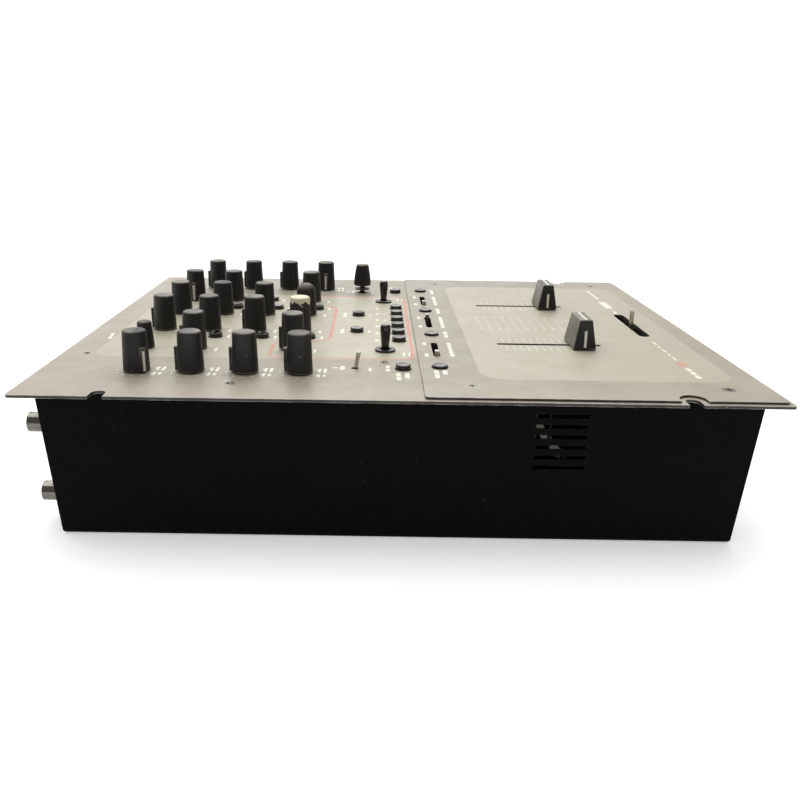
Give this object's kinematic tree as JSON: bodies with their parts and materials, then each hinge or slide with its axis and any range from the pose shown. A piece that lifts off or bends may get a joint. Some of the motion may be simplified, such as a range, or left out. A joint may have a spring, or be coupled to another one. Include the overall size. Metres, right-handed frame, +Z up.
{
  "type": "dj mixer",
  "caption": "Compact DJ mixer: a control panel of knobs, buttons and toggles over a slant-ended tray, with a separate plate of faders at the front and phono jacks at the rear.",
  "frame": {"origin": "centre of the tray's flat base", "axes": "+X to the DJ's right, -Y to the DJ (fader side), +Z up through the control panel"},
  "size_m": [0.254, 0.3032, 0.0816],
  "materials": {
    "tray_paint": "satin black paint, dusty",
    "panel_paint": "matt warm grey paint, fine texture, dusty and worn",
    "plate_paint": "matt warm grey paint, fine texture, dusty and worn",
    "screw_steel": "tarnished steel",
    "jack_nickel": "nickel plate",
    "board_laminate": "green laminate",
    "switch_plastic": "black moulded",
    "knob_plastic": "matt dark grey, worn on the edges",
    "button_plastic": "glossy black",
    "bare_steel": "bare tarnished steel",
    "cap_plastic": "black, grey with dust on its flanks"
  },
  "bodies": {
    "chassis": {"chassis_tray": "tray_paint", "top_panel": "panel_paint", "fader_plate": "plate_paint", "panel_screws": "screw_steel", "connectors": "jack_nickel", "circuit_boards": "board_laminate", "control_bodies": "switch_plastic"},
    "left_outer_knob_1": {"left_outer_knob_1": "knob_plastic"},
    "left_inner_knob_1": {"left_inner_knob_1": "knob_plastic"},
    "left_outer_knob_2": {"left_outer_knob_2": "knob_plastic"},
    "left_inner_knob_2": {"left_inner_knob_2": "knob_plastic"},
    "left_outer_knob_3": {"left_outer_knob_3": "knob_plastic"},
    "left_inner_knob_3": {"left_inner_knob_3": "knob_plastic"},
    "left_outer_knob_4": {"left_outer_knob_4": "knob_plastic"},
    "left_inner_knob_4": {"left_inner_knob_4": "knob_plastic"},
    "right_outer_knob_1": {"right_outer_knob_1": "knob_plastic"},
    "right_inner_knob_1": {"right_inner_knob_1": "knob_plastic"},
    "right_outer_knob_2": {"right_outer_knob_2": "knob_plastic"},
    "right_inner_knob_2": {"right_inner_knob_2": "knob_plastic"},
    "right_outer_knob_3": {"right_outer_knob_3": "knob_plastic"},
    "right_inner_knob_3": {"right_inner_knob_3": "knob_plastic"},
    "right_outer_knob_4": {"right_outer_knob_4": "knob_plastic"},
    "right_inner_knob_4": {"right_inner_knob_4": "knob_plastic"},
    "left_middle_knob_2": {"left_middle_knob_2": "knob_plastic"},
    "left_middle_knob_4": {"left_middle_knob_4": "knob_plastic"},
    "right_middle_knob_1": {"right_middle_knob_1": "knob_plastic"},
    "right_middle_knob_2": {"right_middle_knob_2": "knob_plastic"},
    "right_middle_knob_4": {"right_middle_knob_4": "knob_plastic"},
    "left_slim_knob": {"left_slim_knob": "knob_plastic"},
    "right_link_button": {"right_link_button": "button_plastic"},
    "left_kill_button_1": {"left_kill_button_1": "button_plastic"},
    "left_kill_button_2": {"left_kill_button_2": "button_plastic"},
    "left_kill_button_3": {"left_kill_button_3": "button_plastic"},
    "left_select_button": {"left_select_button": "button_plastic"},
    "left_cue_button": {"left_cue_button": "button_plastic"},
    "right_kill_button_1": {"right_kill_button_1": "button_plastic"},
    "right_kill_button_2": {"right_kill_button_2": "button_plastic"},
    "right_kill_button_3": {"right_kill_button_3": "button_plastic"},
    "right_select_button": {"right_select_button": "button_plastic"},
    "right_cue_button": {"right_cue_button": "button_plastic"},
    "effect_button_1": {"effect_button_1": "button_plastic"},
    "effect_button_2": {"effect_button_2": "button_plastic"},
    "effect_button_3": {"effect_button_3": "button_plastic"},
    "effect_button_4": {"effect_button_4": "button_plastic"},
    "effect_button_5": {"effect_button_5": "button_plastic"},
    "effect_button_6": {"effect_button_6": "button_plastic"},
    "left_outer_flush_button": {"left_outer_flush_button": "button_plastic"},
    "left_inner_flush_button": {"left_inner_flush_button": "button_plastic"},
    "right_outer_flush_button": {"right_outer_flush_button": "button_plastic"},
    "right_inner_flush_button": {"right_inner_flush_button": "button_plastic"},
    "left_paddle_toggle": {"left_paddle_toggle": "button_plastic"},
    "right_paddle_toggle": {"right_paddle_toggle": "button_plastic"},
    "left_small_toggle": {"left_small_toggle": "bare_steel"},
    "right_capped_toggle": {"right_capped_toggle": "knob_plastic"},
    "left_curve_slider": {"left_curve_slider": "bare_steel"},
    "middle_curve_slider": {"middle_curve_slider": "bare_steel"},
    "right_curve_slider": {"right_curve_slider": "bare_steel"},
    "left_line_fader": {"left_line_fader": "cap_plastic"},
    "right_line_fader": {"right_line_fader": "cap_plastic"},
    "crossfader_lever": {"crossfader_lever": "bare_steel"}
  },
  "joints": [
    {"name": "left_outer_knob_1_turn", "type": "hinge", "parent": "chassis", "child": "left_outer_knob_1", "pos_m": [-0.092, 0.1102, 0.064], "axis": [0, 0, 1], "range_deg": [-285, 15]},
    {"name": "left_inner_knob_1_turn", "type": "hinge", "parent": "chassis", "child": "left_inner_knob_1", "pos_m": [-0.0185, 0.1166, 0.064], "axis": [0, 0, 1], "range_deg": [-150, 150]},
    {"name": "left_outer_knob_2_turn", "type": "hinge", "parent": "chassis", "child": "left_outer_knob_2", "pos_m": [-0.092, 0.08735, 0.064], "axis": [0, 0, 1], "range_deg": [-150, 150]},
    {"name": "left_inner_knob_2_turn", "type": "hinge", "parent": "chassis", "child": "left_inner_knob_2", "pos_m": [-0.0185, 0.09375, 0.064], "axis": [0, 0, 1], "range_deg": [-150, 150]},
    {"name": "left_outer_knob_3_turn", "type": "hinge", "parent": "chassis", "child": "left_outer_knob_3", "pos_m": [-0.092, 0.0645, 0.064], "axis": [0, 0, 1], "range_deg": [-150, 150]},
    {"name": "left_inner_knob_3_turn", "type": "hinge", "parent": "chassis", "child": "left_inner_knob_3", "pos_m": [-0.0185, 0.0709, 0.064], "axis": [0, 0, 1], "range_deg": [-150, 150]},
    {"name": "left_outer_knob_4_turn", "type": "hinge", "parent": "chassis", "child": "left_outer_knob_4", "pos_m": [-0.092, 0.04165, 0.064], "axis": [0, 0, 1], "range_deg": [-150, 150]},
    {"name": "left_inner_knob_4_turn", "type": "hinge", "parent": "chassis", "child": "left_inner_knob_4", "pos_m": [-0.0185, 0.04805, 0.064], "axis": [0, 0, 1], "range_deg": [-150, 150]},
    {"name": "right_outer_knob_1_turn", "type": "hinge", "parent": "chassis", "child": "right_outer_knob_1", "pos_m": [0.092, 0.1102, 0.064], "axis": [0, 0, 1], "range_deg": [-150, 150]},
    {"name": "right_inner_knob_1_turn", "type": "hinge", "parent": "chassis", "child": "right_inner_knob_1", "pos_m": [0.0185, 0.1166, 0.064], "axis": [0, 0, 1], "range_deg": [-150, 150]},
    {"name": "right_outer_knob_2_turn", "type": "hinge", "parent": "chassis", "child": "right_outer_knob_2", "pos_m": [0.092, 0.08735, 0.064], "axis": [0, 0, 1], "range_deg": [-150, 150]},
    {"name": "right_inner_knob_2_turn", "type": "hinge", "parent": "chassis", "child": "right_inner_knob_2", "pos_m": [0.0185, 0.09375, 0.064], "axis": [0, 0, 1], "range_deg": [-150, 150]},
    {"name": "right_outer_knob_3_turn", "type": "hinge", "parent": "chassis", "child": "right_outer_knob_3", "pos_m": [0.092, 0.0645, 0.064], "axis": [0, 0, 1], "range_deg": [-150, 150]},
    {"name": "right_inner_knob_3_turn", "type": "hinge", "parent": "chassis", "child": "right_inner_knob_3", "pos_m": [0.0185, 0.0709, 0.064], "axis": [0, 0, 1], "range_deg": [-150, 150]},
    {"name": "right_outer_knob_4_turn", "type": "hinge", "parent": "chassis", "child": "right_outer_knob_4", "pos_m": [0.092, 0.04165, 0.064], "axis": [0, 0, 1], "range_deg": [-240, 60]},
    {"name": "right_inner_knob_4_turn", "type": "hinge", "parent": "chassis", "child": "right_inner_knob_4", "pos_m": [0.0185, 0.04805, 0.064], "axis": [0, 0, 1], "range_deg": [-150, 150]},
    {"name": "left_middle_knob_2_turn", "type": "hinge", "parent": "chassis", "child": "left_middle_knob_2", "pos_m": [-0.055, 0.09375, 0.064], "axis": [0, 0, 1], "range_deg": [-150, 150]},
    {"name": "left_middle_knob_4_turn", "type": "hinge", "parent": "chassis", "child": "left_middle_knob_4", "pos_m": [-0.055, 0.04805, 0.064], "axis": [0, 0, 1], "range_deg": [-150, 150]},
    {"name": "right_middle_knob_1_turn", "type": "hinge", "parent": "chassis", "child": "right_middle_knob_1", "pos_m": [0.055, 0.1166, 0.064], "axis": [0, 0, 1], "range_deg": [-240, 60]},
    {"name": "right_middle_knob_2_turn", "type": "hinge", "parent": "chassis", "child": "right_middle_knob_2", "pos_m": [0.055, 0.09375, 0.064], "axis": [0, 0, 1], "range_deg": [-150, 150]},
    {"name": "right_middle_knob_4_turn", "type": "hinge", "parent": "chassis", "child": "right_middle_knob_4", "pos_m": [0.055, 0.04805, 0.064], "axis": [0, 0, 1], "range_deg": [-150, 150]},
    {"name": "left_slim_knob_turn", "type": "hinge", "parent": "chassis", "child": "left_slim_knob", "pos_m": [-0.055, 0.1166, 0.064], "axis": [0, 0, 1], "range_deg": [-150, 150]},
    {"name": "right_link_button_press", "type": "slide", "parent": "chassis", "child": "right_link_button", "axis": [0, 0, -1], "range_m": [0, 0.0012], "stiffness_N_per_m": 300},
    {"name": "left_kill_button_1_press", "type": "slide", "parent": "chassis", "child": "left_kill_button_1", "axis": [0, 0, -1], "range_m": [0, 0.0012], "stiffness_N_per_m": 300},
    {"name": "left_kill_button_2_press", "type": "slide", "parent": "chassis", "child": "left_kill_button_2", "axis": [0, 0, -1], "range_m": [0, 0.0012], "stiffness_N_per_m": 300},
    {"name": "left_kill_button_3_press", "type": "slide", "parent": "chassis", "child": "left_kill_button_3", "axis": [0, 0, -1], "range_m": [0, 0.0012], "stiffness_N_per_m": 300},
    {"name": "left_select_button_press", "type": "slide", "parent": "chassis", "child": "left_select_button", "axis": [0, 0, -1], "range_m": [0, 0.0012], "stiffness_N_per_m": 300},
    {"name": "left_cue_button_press", "type": "slide", "parent": "chassis", "child": "left_cue_button", "axis": [0, 0, -1], "range_m": [0, 0.0012], "stiffness_N_per_m": 300},
    {"name": "right_kill_button_1_press", "type": "slide", "parent": "chassis", "child": "right_kill_button_1", "axis": [0, 0, -1], "range_m": [0, 0.0012], "stiffness_N_per_m": 300},
    {"name": "right_kill_button_2_press", "type": "slide", "parent": "chassis", "child": "right_kill_button_2", "axis": [0, 0, -1], "range_m": [0, 0.0012], "stiffness_N_per_m": 300},
    {"name": "right_kill_button_3_press", "type": "slide", "parent": "chassis", "child": "right_kill_button_3", "axis": [0, 0, -1], "range_m": [0, 0.0012], "stiffness_N_per_m": 300},
    {"name": "right_select_button_press", "type": "slide", "parent": "chassis", "child": "right_select_button", "axis": [0, 0, -1], "range_m": [0, 0.0012], "stiffness_N_per_m": 300},
    {"name": "right_cue_button_press", "type": "slide", "parent": "chassis", "child": "right_cue_button", "axis": [0, 0, -1], "range_m": [0, 0.0012], "stiffness_N_per_m": 300},
    {"name": "effect_button_1_press", "type": "slide", "parent": "chassis", "child": "effect_button_1", "axis": [0, 0, -1], "range_m": [0, 0.0012], "stiffness_N_per_m": 300},
    {"name": "effect_button_2_press", "type": "slide", "parent": "chassis", "child": "effect_button_2", "axis": [0, 0, -1], "range_m": [0, 0.0012], "stiffness_N_per_m": 300},
    {"name": "effect_button_3_press", "type": "slide", "parent": "chassis", "child": "effect_button_3", "axis": [0, 0, -1], "range_m": [0, 0.0012], "stiffness_N_per_m": 300},
    {"name": "effect_button_4_press", "type": "slide", "parent": "chassis", "child": "effect_button_4", "axis": [0, 0, -1], "range_m": [0, 0.0012], "stiffness_N_per_m": 300},
    {"name": "effect_button_5_press", "type": "slide", "parent": "chassis", "child": "effect_button_5", "axis": [0, 0, -1], "range_m": [0, 0.0012], "stiffness_N_per_m": 300},
    {"name": "effect_button_6_press", "type": "slide", "parent": "chassis", "child": "effect_button_6", "axis": [0, 0, -1], "range_m": [0, 0.0012], "stiffness_N_per_m": 300},
    {"name": "left_outer_flush_button_press", "type": "slide", "parent": "chassis", "child": "left_outer_flush_button", "axis": [0, 0, -1], "range_m": [0, 0.0008], "stiffness_N_per_m": 300},
    {"name": "left_inner_flush_button_press", "type": "slide", "parent": "chassis", "child": "left_inner_flush_button", "axis": [0, 0, -1], "range_m": [0, 0.0008], "stiffness_N_per_m": 300},
    {"name": "right_outer_flush_button_press", "type": "slide", "parent": "chassis", "child": "right_outer_flush_button", "axis": [0, 0, -1], "range_m": [0, 0.0008], "stiffness_N_per_m": 300},
    {"name": "right_inner_flush_button_press", "type": "slide", "parent": "chassis", "child": "right_inner_flush_button", "axis": [0, 0, -1], "range_m": [0, 0.0008], "stiffness_N_per_m": 300},
    {"name": "left_paddle_toggle_tilt", "type": "hinge", "parent": "chassis", "child": "left_paddle_toggle", "pos_m": [-0.055, 0.0053, 0.0624], "axis": [1, 0, 0], "range_deg": [-12, 12]},
    {"name": "right_paddle_toggle_tilt", "type": "hinge", "parent": "chassis", "child": "right_paddle_toggle", "pos_m": [0.055, 0.0053, 0.0624], "axis": [1, 0, 0], "range_deg": [-12, 12]},
    {"name": "left_small_toggle_tilt", "type": "hinge", "parent": "chassis", "child": "left_small_toggle", "pos_m": [-0.0842, 0.0185, 0.0624], "axis": [1, 0, 0], "range_deg": [-20, 0]},
    {"name": "right_capped_toggle_tilt", "type": "hinge", "parent": "chassis", "child": "right_capped_toggle", "pos_m": [0.0842, 0.0185, 0.0624], "axis": [1, 0, 0], "range_deg": [-12, 12]},
    {"name": "left_curve_slider_slide", "type": "slide", "parent": "chassis", "child": "left_curve_slider", "axis": [1, 0, 0], "range_m": [0, 0.02]},
    {"name": "middle_curve_slider_slide", "type": "slide", "parent": "chassis", "child": "middle_curve_slider", "axis": [1, 0, 0], "range_m": [-0.02, 0]},
    {"name": "right_curve_slider_slide", "type": "slide", "parent": "chassis", "child": "right_curve_slider", "axis": [1, 0, 0], "range_m": [0, 0.02]},
    {"name": "left_line_fader_slide", "type": "slide", "parent": "chassis", "child": "left_line_fader", "axis": [0, 1, 0], "range_m": [-0.0078, 0.0372]},
    {"name": "right_line_fader_slide", "type": "slide", "parent": "chassis", "child": "right_line_fader", "axis": [0, 1, 0], "range_m": [-0.0078, 0.0372]},
    {"name": "crossfader_lever_slide", "type": "slide", "parent": "chassis", "child": "crossfader_lever", "axis": [1, 0, 0], "range_m": [-0.0225, 0.0225]}
  ]
}
